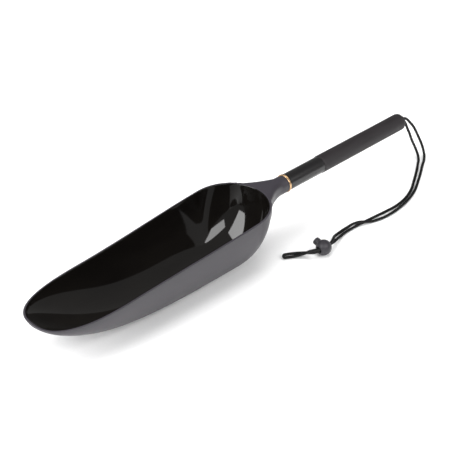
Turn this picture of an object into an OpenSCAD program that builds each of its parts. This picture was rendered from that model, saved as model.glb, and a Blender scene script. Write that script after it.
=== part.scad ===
// Hand scoop with a screw-on handle, a wrist lanyard and a ball-shaped cord lock.
// X runs along the handle towards its end cap, Z is up, and the scoop's belly rests on Z = 0.
// The origin lies on that floor, near the middle between the scoop's tip and the end cap's nose.

/* [Scoop] */
// Length from the scoop's tip to the middle of the trim ring
scoop_length = 338; // [300:1:380]
// Width over the outside of the rim
scoop_width = 91; // [80:1:110]
// Width that the rim loses on each side from the back to the start of the nose
side_taper = 3.5; // [0:0.1:5]
// Thickness of the moulded wall
wall = 2.4; // [2:0.1:3.2]
// Length of the neck, from the middle of the trim ring to the back of the bowl
neck_length = 40; // [36:0.5:46]
// Height of the handle's axis above the floor
axis_height = 58; // [52:1:66]
// Height of the rim above the handle's axis at the back of the bowl
rim_rise = 10.9; // [9.8:0.1:12]
// Depth of the rim below the handle's axis at the tip
tip_drop = 6; // [4:0.1:12]
// How far the rim dips below the line from its back to its tip, as the factor of a cubic
rim_dip = 14; // [0:0.5:16]
// Length over which the back of the belly rounds down to its flat stretch
belly_back = 56; // [50:1:64]
// Length over which the belly ramps up to the tip
ramp_length = 202; // [170:1:220]
// Length over which the sides close in to the tip
nose_length = 92; // [85:1:120]

/* [Screw joint] */
// Diameter of the stud's thread
thread_d = 9.5; // [8:0.1:11]
// Length of thread that stands out of the neck
thread_length = 12; // [10:0.5:14]
// Diameter of the stud's anchor, moulded into the neck
anchor_d = 12; // [11:0.1:13]
// Length of the stud's anchor
anchor_length = 22; // [16:1:26]
// Width of the trim ring along the handle
ring_width = 2.4; // [1.6:0.1:3.2]
// Diameter of the trim ring
ring_d = 20.6; // [20.1:0.1:21.6]

/* [Handle] */
// Length from the middle of the trim ring to the end cap's nose
handle_length = 201; // [160:1:260]
// Outside diameter of the handle tube
tube_d = 19; // [18.6:0.1:19.4]
// Wall of the handle tube
tube_wall = 1.2; // [1:0.1:1.6]
// Outside diameter of the grip sleeve
grip_d = 20; // [19.8:0.1:21]
// Distance from the middle of the trim ring to the start of the grip sleeve
grip_start = 56; // [40:1:80]
// Diameter of the nose that the lanyard leaves by
nose_d = 11.6; // [8.6:0.1:12.4]

/* [Lanyard] */
// Diameter of the cord
cord_d = 3; // [2.8:0.1:3]
// Diameter of the cord lock's ball
ball_d = 17; // [16.6:0.1:18]
// Travel of the cord lock's plunger
plunger_travel = 1.6; // [1:0.1:1.6]

/* [Hidden] */

// Places along the handle
tip_reach = 267;        // distance from the origin to the scoop's tip
joint_x = scoop_length - tip_reach;
nose_x = joint_x + handle_length;
neck_face_x = joint_x - ring_width / 2;
tube_face_x = joint_x + ring_width / 2;

// Bowl: its outer outline in plan is a half circle at the back, straight sides, and a rounded nose
tip_x = -tip_reach;
back_x = joint_x - neck_length;
bowl_length = back_x - tip_x;
side_y = scoop_width / 2;
nose_power = 2.7;       // how square the nose is in plan: 2 is an ellipse
section_power = 2.15;   // how square a cross-section is
back_power = 1.9;       // how square the belly's rounding at the back is
ramp_power = 2.85;      // how late the ramp at the front steepens
lip_height = 2.6;       // depth of the outer lip at the very tip
back_steps = 14;        // points on a quarter of the outline's half circle
side_steps = 14;
nose_steps = 18;
wall_steps = 11;        // rings from the rim down to the keel
keel_share = 0.08;      // share of the half width that the keel's flat takes

// Neck
neck_steps = 16;
neck_sides = 48;
neck_end = 15;          // how far the neck reaches into the bowl, to be trimmed by the cavity
neck_r = 9.7;
neck_flare = 23.5;      // how much wider each side of the deck is at the bowl than at the ring
neck_straight = 10;     // length at the ring before the flare starts
neck_fall = 17;         // how much deeper the neck is at the bowl than at the ring

// Handle
tube_r = tube_d / 2;
bore_r = tube_r - tube_wall;
bush_length = 26;
bush_depth = 15;        // depth of the bush's threaded hole
thread_gap = 0.06;      // running clearance of the thread, per side
ring_gap = 0.05;        // clearance between the neck and the trim ring
cap_nose = 3.2;         // length of the end cap's nose
cap_dome = 4.3;         // length of its rounded shoulder
cap_plug = 12;          // length of its plug inside the tube
cord_hole_r = cord_d + 0.3;
knot_r = 6.5;

// Cord lock: its cord hole runs along X and its plunger leans up from +Y
ball_r = ball_d / 2;
ball_pos = [66, -64, ball_r];
plunger_lean = 17;
plunger_r = 4.2;
plunger_gap = 0.1;      // running clearance of the plunger, per side
plunger_out = ball_r + 4;
bore_bottom = -6.2;
plunger_in = bore_bottom + plunger_travel + 1.4;
lock_hole_r = cord_d + 0.5;
slot_half = cord_d + 0.35;                      // half width of the plunger's cross slot
slot_in = -cord_d / 2 - 0.15;
slot_out = cord_d / 2 + plunger_travel + 0.25;
spring_r = 2.9;
spring_wire = 0.5;
spring_turns = 3;

// Routes of the lanyard's two strands, from the knot in the handle to the bight at the far end
cord_sides = 8;
route_a = [[251.5, 0, 59.5], [272, 0, 59.5], [276.5, -0.5, 58.8], [281, -1, 56], [285.6, -1.5, 51],
    [291, -2, 45], [296, -2.5, 38], [300, -3.5, 30.5], [303.5, -5, 23], [306.5, -7, 15],
    [307.5, -9.5, 8], [305.5, -13, 3.2], [299, -18, 1.5], [286, -25.5, 1.5], [272, -34, 1.5],
    [256, -43, 1.5], [235, -54, 1.5], [216.5, -60.5, 1.5], [196.5, -64.5, 1.5], [178, -65.8, 1.5],
    [162, -64.5, 1.5], [149, -61, 1.8], [141, -58.2, 3.8], [134, -55.3, 5.1], [127, -52.4, 4.2],
    [120, -50.6, 2.2], [112, -50.2, 1.5], [104, -51.4, 2.3], [97, -54, 4.6], [90, -57.6, 7.4],
    [84, -61.6, 9.9], [78.5, -64.3, 10.1], [57, -64.5, 10.1], [53.2, -62, 9.8],
    [49.3, -58.4, 8.3], [46.3, -55.1, 6], [43.4, -51.7, 3.9], [40.3, -48.6, 2.5],
    [37, -45.8, 1.7], [30.4, -41.6, 1.5]];
route_b = [[251.5, 0, 56.5], [272, 0, 56.5], [275.6, 0, 55.3], [279, 0, 52], [282, 0, 47],
    [285.5, 0, 40.5], [289, -0.5, 34], [292.5, -1, 26], [296, -2.5, 18], [298.5, -5, 10.5],
    [298, -9, 4.5], [294, -13.5, 1.8], [286, -19, 1.5], [272, -28, 1.5], [252.5, -39.5, 1.5],
    [232.5, -50.5, 1.5], [214, -57, 1.5], [193.5, -59.8, 1.5], [176.5, -59, 1.5],
    [160.5, -57.4, 1.5], [145, -56, 1.5], [129.5, -54.8, 1.5], [119, -54.6, 1.5],
    [110, -55.2, 1.6], [102, -57, 2.5], [95, -59.2, 4.2], [89, -61.5, 6], [83.5, -63.2, 6.8],
    [78.5, -63.5, 7], [57, -63.5, 7], [53.2, -61.6, 6.6], [51.1, -58, 5.7], [48.9, -53.7, 4.8],
    [45.8, -49.5, 4.1], [42.1, -46.2, 3.9], [38.2, -43.8, 4], [34.7, -41.8, 4.1],
    [31.2, -40, 4.1]];
// The bight that joins them: its ends face the strands' ends, and its turn lies in their plane
bight_ends = [route_a[len(route_a) - 1], route_b[len(route_b) - 1]];
bight_pos = (bight_ends[0] + bight_ends[1]) / 2;
bight_r = norm(bight_ends[0] - bight_ends[1]) / 2;
bight_turn = [0, -55.5, 60.8];

// ---- Bowl shape ----

// Height of the rim at x
function rim_z(x) =
    let (u = (back_x - x) / bowl_length)
    axis_height + rim_rise - (rim_rise + tip_drop) * u - rim_dip * u * u * (1 - u);

// Half width at x of an outline that lies inset inside the outer one
function half_width(x, inset) =
    let (w = side_y - inset, back = back_x - side_y, front = tip_x + nose_length,
         b = (x - back) / w, f = (front - x) / (nose_length - inset), t = (back - x) / (back - front))
    b > 0 ? w * sqrt(max(0, 1 - b * b))
    : f > 0 ? (w - side_taper) * pow(max(0, 1 - pow(f, nose_power)), 1 / nose_power)
    : w - side_taper * t * t * (3 - 2 * t);

// Height of the keel at x, for a surface that lies inset inside the outer one
function keel_z(x, inset) =
    let (floor_z = inset,
         back_end = back_x - inset, back_top = rim_z(back_end),
         a = (x - (back_x - belly_back)) / (belly_back - inset),
         ramp_x = tip_x + ramp_length, b = (ramp_x - x) / (ramp_length - inset),
         tip_z = rim_z(tip_x) - (inset > 0 ? 0 : lip_height))
    a > 0 ? back_top - (back_top - floor_z) * pow(max(0, 1 - pow(a, back_power)), 1 / back_power)
    : b > 0 ? floor_z + (tip_z - floor_z) * pow(b, ramp_power)
    : floor_z;

// Height of the bowl's surface at [x, y]
function bowl_z(x, y, inset) =
    let (w = half_width(x, inset), t = w > 0.001 ? min(1, abs(y) / w) : 1,
         top = rim_z(x), low = min(top, keel_z(x, inset)))
    w > 0.001 ? top - (top - low) * pow(1 - pow(t, section_power), 1 / section_power) : top;

// Half of the outline from back to tip: [point on the outline, point on the keel that it shrinks to]
function half_outline(inset) =
    let (w = side_y - inset, back = back_x - side_y, front = tip_x + nose_length, n = nose_length - inset)
    concat(
        [for (i = [0 : back_steps - 1]) let (q = 90 * i / back_steps)
            [[back + w * cos(q), w * sin(q)], [back, 0]]],
        [for (i = [0 : side_steps]) let (x = back + (front - back) * i / side_steps)
            [[x, half_width(x, inset)], [x, 0]]],
        [for (i = [1 : nose_steps]) let (q = 90 * i / nose_steps)
            [[front - n * pow(sin(q), 2 / nose_power),
              (w - side_taper) * pow(max(0, cos(q)), 2 / nose_power)],
             [front, 0]]]);

// The whole outline, anticlockwise from above
function outline(inset) =
    let (h = half_outline(inset), n = len(h))
    concat(h, [for (i = [n - 2 : -1 : 1])
        [[h[i][0].x, -h[i][0].y], h[i][1]]]);

// One ring of the surface: share is 1 at the rim and near 0 along the keel, which is a narrow flat
function bowl_ring(inset, share) =
    [for (p = outline(inset)) let (q = p[1] + share * (p[0] - p[1]))
        [q.x, q.y, bowl_z(q.x, share < keel_share ? 0 : q.y, inset)]];

// Closed solid below the rim, or up to lift above the rim's highest point
module bowl_solid(inset, lift) {
    n = len(outline(inset));
    top_ring = [for (p = outline(inset))
        [p[0].x, p[0].y, lift > 0 ? axis_height + rim_rise + lift : rim_z(p[0].x)]];
    rings = concat([top_ring],
        [for (k = [1 : wall_steps]) bowl_ring(inset, cos(90 * k / (wall_steps + 0.5)))]);
    m = len(rings);
    points = [for (r = rings) each r];
    sides = [for (k = [0 : m - 2], i = [0 : n - 1]) let (j = (i + 1) % n)
        each [[k * n + i, (k + 1) * n + j, (k + 1) * n + i], [k * n + i, k * n + j, (k + 1) * n + j]]];
    half = floor(n / 2);
    // Strips across the top and the bottom, from each point to its mirror image
    top = [for (i = [0 : half - 1]) each strip(i, n, 0, true)];
    bottom = [for (i = [0 : half - 1]) each strip(i, n, (m - 1) * n, false)];
    polyhedron(points, concat(sides, top, bottom));
}

// Two triangles between points i and i + 1 of a ring and their mirror images
function strip(i, n, base, up) =
    let (a = base + i, b = base + i + 1, c = base + (n - i - 1) % n, d = base + (n - i) % n,
         faces = i == 0 ? [[a, b, c]] : b == c ? [[a, b, d]] : [[a, b, c], [a, c, d]])
    up ? [for (f = faces) [f[2], f[1], f[0]]] : faces;

// ---- Neck: round at the trim ring, flat-topped and flared where it meets the rim ----

function neck_section(x) =
    let (run = neck_face_x - x, full = neck_length + neck_end - ring_width / 2,
         f = max(0, (run - neck_straight) / (full - neck_straight)),
         a = neck_r + neck_flare * pow(f, 1.7),
         top = neck_r + (rim_rise - 0.35 - neck_r) * f,
         low = neck_r + neck_fall * pow(f, 1.5),
         flat = 2 / (2 + 7 * f), keen = 2 / (2 - 0.35 * f))
    [for (i = [0 : neck_sides - 1]) let (q = 360 * i / neck_sides, c = cos(q), s = sin(q))
        s >= 0
            ? [x, a * sign(c) * pow(abs(c), flat), axis_height + top * pow(s, flat)]
            : [x, a * sign(c) * pow(abs(c), keen), axis_height - low * pow(-s, keen)]];

module neck_solid() {
    full = neck_length + neck_end - ring_width / 2;
    n = neck_sides;
    rings = [for (k = [0 : neck_steps]) neck_section(neck_face_x - full * k / neck_steps)];
    points = [for (r = rings) each r];
    sides = [for (k = [0 : neck_steps - 1], i = [0 : n - 1]) let (j = (i + 1) % n)
        each [[k * n + i, (k + 1) * n + j, (k + 1) * n + i], [k * n + i, k * n + j, (k + 1) * n + j]]];
    near = [for (i = [1 : n - 2]) [0, i + 1, i]];
    far = [for (i = [1 : n - 2]) [neck_steps * n, neck_steps * n + i, neck_steps * n + i + 1]];
    polyhedron(points, concat(sides, near, far));
}

// ---- Parts on the handle's axis ----

// Places its children with their Z along the handle's axis, from x towards the end cap
module along_handle(x) translate([x, 0, axis_height]) rotate([0, 90, 0]) children();

module scoop() {
    color([0.2, 0.19, 0.21])
    difference() {
        resize([0, 0, 0])
        difference() {
            union() {
                bowl_solid(0, 0);
                neck_solid();
            }
            bowl_solid(wall, 5);
        }
        along_handle(neck_face_x - anchor_length) cylinder(d = anchor_d, h = anchor_length + 5, $fn = 64);
    }
}

module threaded_stud() {
    color([0.74, 0.74, 0.76])
    union() {
        along_handle(neck_face_x - anchor_length) cylinder(d = anchor_d, h = anchor_length, $fn = 64);
        along_handle(neck_face_x - 1) cylinder(d = thread_d, h = 1 + thread_length + ring_width, $fn = 64);
    }
}

module trim_ring() {
    color([0.85, 0.66, 0.42])
    along_handle(neck_face_x + ring_gap)
    rotate_extrude($fn = 96)
    polygon([[thread_d / 2 + 0.3, 0], [ring_d / 2 - 0.6, 0], [ring_d / 2, 0.5],
             [ring_d / 2, ring_width - ring_gap - 0.5], [ring_d / 2 - 0.6, ring_width - ring_gap],
             [thread_d / 2 + 0.3, ring_width - ring_gap]]);
}

module handle_tube() {
    color([0.09, 0.08, 0.09])
    along_handle(tube_face_x)
    difference() {
        cylinder(r = tube_r, h = nose_x - cap_nose - cap_dome - tube_face_x, $fn = 96);
        translate([0, 0, -1]) cylinder(r = bore_r, h = handle_length, $fn = 96);
    }
}

module threaded_bush() {
    color([0.74, 0.74, 0.76])
    along_handle(tube_face_x)
    difference() {
        cylinder(r = bore_r, h = bush_length, $fn = 96);
        translate([0, 0, -1]) cylinder(r = thread_d / 2 + thread_gap, h = bush_depth + 1, $fn = 64);
    }
}

module grip_sleeve() {
    color([0.17, 0.15, 0.16])
    along_handle(joint_x + grip_start)
    difference() {
        cylinder(d = grip_d, h = nose_x - cap_nose - cap_dome - joint_x - grip_start, $fn = 96);
        translate([0, 0, -1]) cylinder(r = tube_r, h = handle_length, $fn = 96);
    }
}

module end_cap() {
    dome_r = grip_d / 2;
    neck = nose_d / 2 + 0.3;
    shoulder = [for (i = [0 : 8]) let (q = 90 * i / 8)
        [neck + (dome_r - neck) * cos(q), cap_plug + cap_dome * sin(q)]];
    color([0.14, 0.13, 0.14])
    along_handle(nose_x - cap_nose - cap_dome - cap_plug)
    difference() {
        rotate_extrude($fn = 96)
        polygon(concat([[0, 0], [bore_r - 0.5, 0], [bore_r, 1], [bore_r, cap_plug]], shoulder,
            [[nose_d / 2, cap_plug + cap_dome + 0.3], [nose_d / 2, cap_plug + cap_dome + cap_nose - 0.6],
             [nose_d / 2 - 0.6, cap_plug + cap_dome + cap_nose], [0, cap_plug + cap_dome + cap_nose]]));
        translate([0, 0, -1]) cylinder(r = cord_hole_r, h = cap_plug + cap_dome + cap_nose + 2, $fn = 48);
    }
}

// ---- Lanyard ----

module lanyard_knot() {
    color([0.1, 0.1, 0.1])
    intersection() {
        translate([route_a[0].x - knot_r + 1, 0, axis_height]) sphere(r = knot_r, $fn = 48);
        along_handle(route_a[0].x - 3 * knot_r) cylinder(r = knot_r + 1, h = 3 * knot_r, $fn = 48);
    }
}

// Direction of the route at point i
function heading(p, i) =
    let (v = p[min(i + 1, len(p) - 1)] - p[max(i - 1, 0)])
    v / norm(v);

// Ring of points round the route at point i, square to it
function cord_ring(p, i) =
    let (d = heading(p, i), side = cross([0, 0, 1], d),
         a = norm(side) > 0.2 ? side / norm(side) : [0, 1, 0], b = cross(d, a))
    [for (k = [0 : cord_sides - 1]) let (q = 360 * (k + 0.5) / cord_sides)
        p[i] + cord_d / 2 * (cos(q) * a + sin(q) * b)];

module cord(p) {
    n = cord_sides;
    m = len(p);
    points = [for (i = [0 : m - 1]) each cord_ring(p, i)];
    sides = [for (k = [0 : m - 2], i = [0 : n - 1]) let (j = (i + 1) % n)
        each [[k * n + i, (k + 1) * n + i, (k + 1) * n + j], [k * n + i, (k + 1) * n + j, k * n + j]]];
    start = [for (i = [1 : n - 2]) [0, i, i + 1]];
    stop = [for (i = [1 : n - 2]) [(m - 1) * n, (m - 1) * n + i + 1, (m - 1) * n + i]];
    color([0.08, 0.08, 0.08])
    polyhedron(points, concat(sides, start, stop));
}

module lanyard_cord_a() cord(route_a);
module lanyard_cord_b() cord(route_b);

// The cord turns back on itself here, and its two strands lie together as far as the cord lock
module lanyard_bight() {
    color([0.08, 0.08, 0.08])
    translate(bight_pos) rotate(bight_turn)
        rotate_extrude(angle = 180, $fn = 48) translate([bight_r, 0]) circle(d = cord_d, $fn = 24);
}

// Places its children with their Z along the cord lock's plunger
module in_lock() translate(ball_pos) rotate([plunger_lean - 90, 0, 0]) children();

module lock_ball() {
    bore = plunger_r + plunger_gap;
    color([0.27, 0.26, 0.28])
    in_lock()
    difference() {
        rotate_extrude($fn = 64)
        difference() {
            circle(r = ball_r, $fn = 64);
            translate([-ball_d, -ball_d]) square([ball_d, 2 * ball_d]);
            translate([-1, bore_bottom]) square([bore + 1, ball_d]);
        }
        rotate([0, 90, 0]) cylinder(r = lock_hole_r, h = 2 * ball_d, center = true, $fn = 48);
    }
}

module lock_plunger() {
    edge = 0.8;
    slot_mid = (slot_in + slot_out) / 2;
    color([0.25, 0.24, 0.26])
    in_lock()
    difference() {
        rotate_extrude($fn = 64)
        polygon([[0, plunger_in], [plunger_r, plunger_in], [plunger_r, plunger_out - edge],
                 [plunger_r - edge, plunger_out], [0, plunger_out]]);
        translate([0, 0, slot_mid]) cube([3 * plunger_r, 2 * slot_half, slot_out - slot_in], center = true);
    }
}

// Coil of round wire between the bottom of the ball's bore and the plunger
module lock_spring() {
    n = 6;
    steps = 16;
    m = spring_turns * steps;
    rise = plunger_in - bore_bottom - spring_wire - 0.1;
    r = spring_r;
    base = bore_bottom + spring_wire / 2 + 0.05;
    points = [for (k = [0 : m], i = [0 : n - 1])
        let (q = 360 * k / steps, w = 360 * i / n, out = r + spring_wire / 2 * cos(w))
        [out * cos(q), out * sin(q), base + rise * k / m + spring_wire / 2 * sin(w)]];
    sides = [for (k = [0 : m - 1], i = [0 : n - 1]) let (j = (i + 1) % n)
        each [[k * n + i, (k + 1) * n + j, (k + 1) * n + i], [k * n + i, k * n + j, (k + 1) * n + j]]];
    start = [for (i = [1 : n - 2]) [0, i + 1, i]];
    stop = [for (i = [1 : n - 2]) [m * n, m * n + i, m * n + i + 1]];
    color([0.7, 0.7, 0.72])
    in_lock() polyhedron(points, concat(sides, start, stop));
}

scoop();
threaded_stud();
trim_ring();
handle_tube();
threaded_bush();
grip_sleeve();
end_cap();
lanyard_knot();
lanyard_cord_a();
lanyard_cord_b();
lanyard_bight();
lock_ball();
lock_plunger();
lock_spring();
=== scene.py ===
# Hand scoop with a screw-on handle, a wrist lanyard and a ball-shaped cord lock.
# X runs along the handle towards its end cap, Z is up, and the belly rests on Z = 0.
import math

import bpy
import numpy as np
from mathutils import Matrix, Vector


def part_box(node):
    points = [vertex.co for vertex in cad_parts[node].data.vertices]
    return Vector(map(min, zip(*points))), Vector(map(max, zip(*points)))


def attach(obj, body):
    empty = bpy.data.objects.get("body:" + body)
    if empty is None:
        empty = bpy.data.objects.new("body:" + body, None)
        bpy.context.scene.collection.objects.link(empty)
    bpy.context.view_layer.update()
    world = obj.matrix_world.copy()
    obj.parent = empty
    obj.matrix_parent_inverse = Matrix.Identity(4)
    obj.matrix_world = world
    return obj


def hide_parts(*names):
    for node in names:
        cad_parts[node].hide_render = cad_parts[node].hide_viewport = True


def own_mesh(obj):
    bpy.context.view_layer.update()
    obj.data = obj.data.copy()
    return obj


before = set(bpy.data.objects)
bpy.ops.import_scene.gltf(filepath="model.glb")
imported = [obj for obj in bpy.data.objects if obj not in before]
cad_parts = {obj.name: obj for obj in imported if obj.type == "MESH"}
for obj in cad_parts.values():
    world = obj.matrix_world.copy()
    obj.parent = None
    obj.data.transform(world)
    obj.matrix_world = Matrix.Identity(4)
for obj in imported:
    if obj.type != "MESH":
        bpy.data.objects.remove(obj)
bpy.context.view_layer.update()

MM = 0.001

# ---- Places, from the frame ----

ring_low, ring_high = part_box("trim_ring")
ring_centre = (ring_low + ring_high) / 2
scoop_low, scoop_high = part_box("scoop")
tube_low, tube_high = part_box("handle_tube")
grip_low, grip_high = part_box("grip_sleeve")
cap_low, cap_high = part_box("end_cap")
AXIS_Z = ring_centre.z
JOINT_X = 71 * MM          # middle of the trim ring, where the handle meets the scoop

# ---- Small helpers ----


def deselect():
    if bpy.context.mode != "OBJECT":
        bpy.ops.object.mode_set(mode="OBJECT")
    bpy.ops.object.select_all(action="DESELECT")


def pick(obj):
    """Makes obj the only selected object, and the active one."""
    deselect()
    obj.hide_viewport = False
    obj.select_set(True)
    bpy.context.view_layer.objects.active = obj
    return obj


def named(name):
    """The object that an operator has just added, under its own name."""
    obj = bpy.context.active_object
    obj.name = name
    obj.data.name = name
    return obj


def settle(obj):
    """Moves the object's place into its mesh."""
    pick(obj)
    bpy.ops.object.transform_apply(location=True, rotation=True, scale=True)
    return obj


def apply_all(obj):
    pick(obj)
    for modifier in list(obj.modifiers):
        bpy.ops.object.modifier_apply(modifier=modifier.name)
    return obj


def tidy_mesh(obj, distance=1e-6, outward=True):
    pick(obj)
    bpy.ops.object.mode_set(mode="EDIT")
    bpy.ops.mesh.select_all(action="SELECT")
    bpy.ops.mesh.remove_doubles(threshold=distance)
    if outward:
        bpy.ops.mesh.normals_make_consistent(inside=False)
    bpy.ops.object.mode_set(mode="OBJECT")
    return obj


def smooth(obj, angle=30):
    pick(obj)
    bpy.ops.object.shade_smooth_by_angle(angle=math.radians(angle))
    return obj


def boolean(obj, other, operation, solver="EXACT"):
    modifier = obj.modifiers.new(operation.lower(), "BOOLEAN")
    modifier.operation = operation
    modifier.object = other
    modifier.solver = solver
    apply_all(obj)
    bpy.data.objects.remove(other)
    return obj


def bevel(obj, width, segments=2, angle=30):
    modifier = obj.modifiers.new("edges", "BEVEL")
    modifier.width = width
    modifier.segments = segments
    modifier.limit_method = "ANGLE"
    modifier.angle_limit = math.radians(angle)
    modifier.use_clamp_overlap = True
    return apply_all(obj)


# ---- Camera ----

VIEW_AZIMUTH = math.radians(44.702)
VIEW_ELEVATION = math.radians(33.404)
VIEW_DISTANCE = 1.3405
VIEW_LENS = 100
VIEW_SENSOR = 36
RING_RIGHT = 0.0633     # where the trim ring stands in the view, right of its middle
RING_UP = 0.0446        # and above it

forward = Vector((math.sin(VIEW_AZIMUTH) * math.cos(VIEW_ELEVATION),
                  math.cos(VIEW_AZIMUTH) * math.cos(VIEW_ELEVATION),
                  -math.sin(VIEW_ELEVATION)))
rightward = Vector((math.cos(VIEW_AZIMUTH), -math.sin(VIEW_AZIMUTH), 0))
upward = rightward.cross(forward)
aim = Vector((JOINT_X, 0, AXIS_Z)) - rightward * RING_RIGHT - upward * RING_UP

deselect()
bpy.ops.object.camera_add(location=aim - forward * VIEW_DISTANCE)
camera = bpy.context.active_object
camera.name = "camera"
camera.rotation_mode = "QUATERNION"
camera.rotation_quaternion = forward.to_track_quat("-Z", "Y")
camera.data.lens = VIEW_LENS
camera.data.sensor_width = VIEW_SENSOR
camera.data.clip_start = 0.01
camera.data.clip_end = 100
bpy.context.scene.camera = camera

# ---- Materials ----


def linear(code):
    """sRGB hex colour to linear RGBA."""
    out = []
    for i in (1, 3, 5):
        c = int(code[i:i + 2], 16) / 255
        out.append(c / 12.92 if c <= 0.04045 else ((c + 0.055) / 1.055) ** 2.4)
    return (*out, 1.0)


def new_material(name):
    material = bpy.data.materials.new(name)
    material.use_nodes = True
    material.node_tree.nodes.clear()
    return material


def node(material, kind, links=(), **settings):
    """Adds a node. A setting names a socket or a property; a link is (input, node, output)."""
    made = material.node_tree.nodes.new(kind)
    for key, value in settings.items():
        label = key.replace("_", " ")
        sockets = {s.name.lower(): s for s in made.inputs}
        if label.lower() in sockets:
            sockets[label.lower()].default_value = value
        else:
            setattr(made, key, value)
    for target, source, output in links:
        material.node_tree.links.new(source.outputs[output], made.inputs[target])
    return made


def ramp(material, source, output, stops):
    """Colour ramp with the stops [(place, hex), ...]."""
    made = node(material, "ShaderNodeValToRGB", [("Fac", source, output)])
    elements = made.color_ramp.elements
    while len(elements) < len(stops):
        elements.new(0.5)
    for element, (place, code) in zip(elements, stops):
        element.position = place
        element.color = linear(code)
    return made


def spread(material, source, output, low, high, from_low=0.0, from_high=1.0):
    """Stretches a value from one range to another."""
    made = node(material, "ShaderNodeMapRange", [("Value", source, output)])
    made.inputs["From Min"].default_value = from_low
    made.inputs["From Max"].default_value = from_high
    made.inputs["To Min"].default_value = low
    made.inputs["To Max"].default_value = high
    return made


def object_space(material, scale=(1, 1, 1), rotation=(0, 0, 0)):
    place = node(material, "ShaderNodeTexCoord")
    return node(material, "ShaderNodeMapping", [("Vector", place, "Object")],
                Scale=scale, Rotation=rotation)


def close(material, shader):
    out = node(material, "ShaderNodeOutputMaterial", [("Surface", shader, "BSDF")])
    return material


def scoop_outside():
    """Moulded ABS off a spark-eroded mould: an even satin grey-black with a fine grain."""
    m = new_material("scoop_outside_abs_satin")
    space = object_space(m)
    grain = node(m, "ShaderNodeTexNoise", [("Vector", space, "Vector")],
                 Scale=1 / (1.1 * MM), Detail=3.0, Roughness=0.6)
    cloud = node(m, "ShaderNodeTexNoise", [("Vector", space, "Vector")],
                 Scale=1 / (34 * MM), Detail=3.0, Roughness=0.55)
    tint = ramp(m, cloud, "Fac", [(0.3, "#2b282e"), (0.7, "#322f35")])
    gloss = spread(m, cloud, "Fac", 0.36, 0.46, 0.3, 0.7)
    bump = node(m, "ShaderNodeBump", [("Height", grain, "Fac")], Strength=0.12, Distance=0.05 * MM)
    return close(m, node(m, "ShaderNodeBsdfPrincipled",
                         [("Base Color", tint, "Color"), ("Roughness", gloss, "Result"),
                          ("Normal", bump, "Normal")], IOR=1.53))


def scoop_inside():
    """The same ABS off the mould's polished core: wet-looking black, with a little flow."""
    m = new_material("scoop_inside_abs_polished")
    space = object_space(m, scale=(0.35, 1, 1))
    flow = node(m, "ShaderNodeTexNoise", [("Vector", space, "Vector")],
                Scale=1 / (26 * MM), Detail=2.0, Roughness=0.5)
    dust = node(m, "ShaderNodeTexNoise", [("Vector", space, "Vector")],
                Scale=1 / (2.2 * MM), Detail=4.0, Roughness=0.7)
    tint = ramp(m, flow, "Fac", [(0.3, "#0c0a09"), (0.7, "#12100e")])
    gloss = spread(m, dust, "Fac", 0.045, 0.085, 0.35, 0.75)
    bump = node(m, "ShaderNodeBump", [("Height", flow, "Fac")], Strength=0.05, Distance=0.3 * MM)
    return close(m, node(m, "ShaderNodeBsdfPrincipled",
                         [("Base Color", tint, "Color"), ("Roughness", gloss, "Result"),
                          ("Normal", bump, "Normal")], IOR=1.53))


def ring_gold():
    """Aluminium ring, turned and anodised pale gold: bright, with fine turning lines."""
    m = new_material("ring_anodised_gold")
    space = object_space(m, scale=(1, 0.05, 0.05))
    lines = node(m, "ShaderNodeTexNoise", [("Vector", space, "Vector")],
                 Scale=1 / (0.25 * MM), Detail=2.0)
    tint = ramp(m, lines, "Fac", [(0.35, "#d9ab78"), (0.65, "#f0cfa4")])
    bump = node(m, "ShaderNodeBump", [("Height", lines, "Fac")], Strength=0.15, Distance=0.02 * MM)
    return close(m, node(m, "ShaderNodeBsdfPrincipled",
                         [("Base Color", tint, "Color"), ("Normal", bump, "Normal")],
                         Metallic=1.0, Roughness=0.28))


def tube_lacquer():
    """Wrapped carbon and glass tube under clear lacquer: deep gloss black, faint long fibres."""
    m = new_material("tube_lacquered_composite")
    space = object_space(m, scale=(0.02, 1, 1))
    fibre = node(m, "ShaderNodeTexNoise", [("Vector", space, "Vector")],
                 Scale=1 / (0.9 * MM), Detail=3.0)
    tint = ramp(m, fibre, "Fac", [(0.35, "#080708"), (0.7, "#0f0d0e")])
    bump = node(m, "ShaderNodeBump", [("Height", fibre, "Fac")], Strength=0.04, Distance=0.05 * MM)
    return close(m, node(m, "ShaderNodeBsdfPrincipled",
                         [("Base Color", tint, "Color"), ("Normal", bump, "Normal")],
                         Roughness=0.4, IOR=1.45, Coat_Weight=0.55, Coat_Roughness=0.16))


def grip_rubber():
    """Shrink-fitted rubber sleeve: soft matte brown-black with fine lengthwise drag lines."""
    m = new_material("grip_shrunk_rubber")
    space = object_space(m, scale=(0.06, 1, 1))
    drag = node(m, "ShaderNodeTexNoise", [("Vector", space, "Vector")],
                Scale=1 / (1.6 * MM), Detail=5.0, Roughness=0.65)
    pores = node(m, "ShaderNodeTexNoise", [("Vector", object_space(m), "Vector")],
                 Scale=1 / (0.8 * MM), Detail=2.0)
    both = node(m, "ShaderNodeMath", [(0, drag, "Fac"), (1, pores, "Fac")], operation="ADD")
    tint = ramp(m, drag, "Fac", [(0.3, "#171416"), (0.7, "#231f21")])
    gloss = spread(m, drag, "Fac", 0.52, 0.68, 0.3, 0.7)
    bump = node(m, "ShaderNodeBump", [("Height", both, "Value")], Strength=0.3, Distance=0.08 * MM)
    return close(m, node(m, "ShaderNodeBsdfPrincipled",
                         [("Base Color", tint, "Color"), ("Roughness", gloss, "Result"),
                          ("Normal", bump, "Normal")], IOR=1.5))


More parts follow.
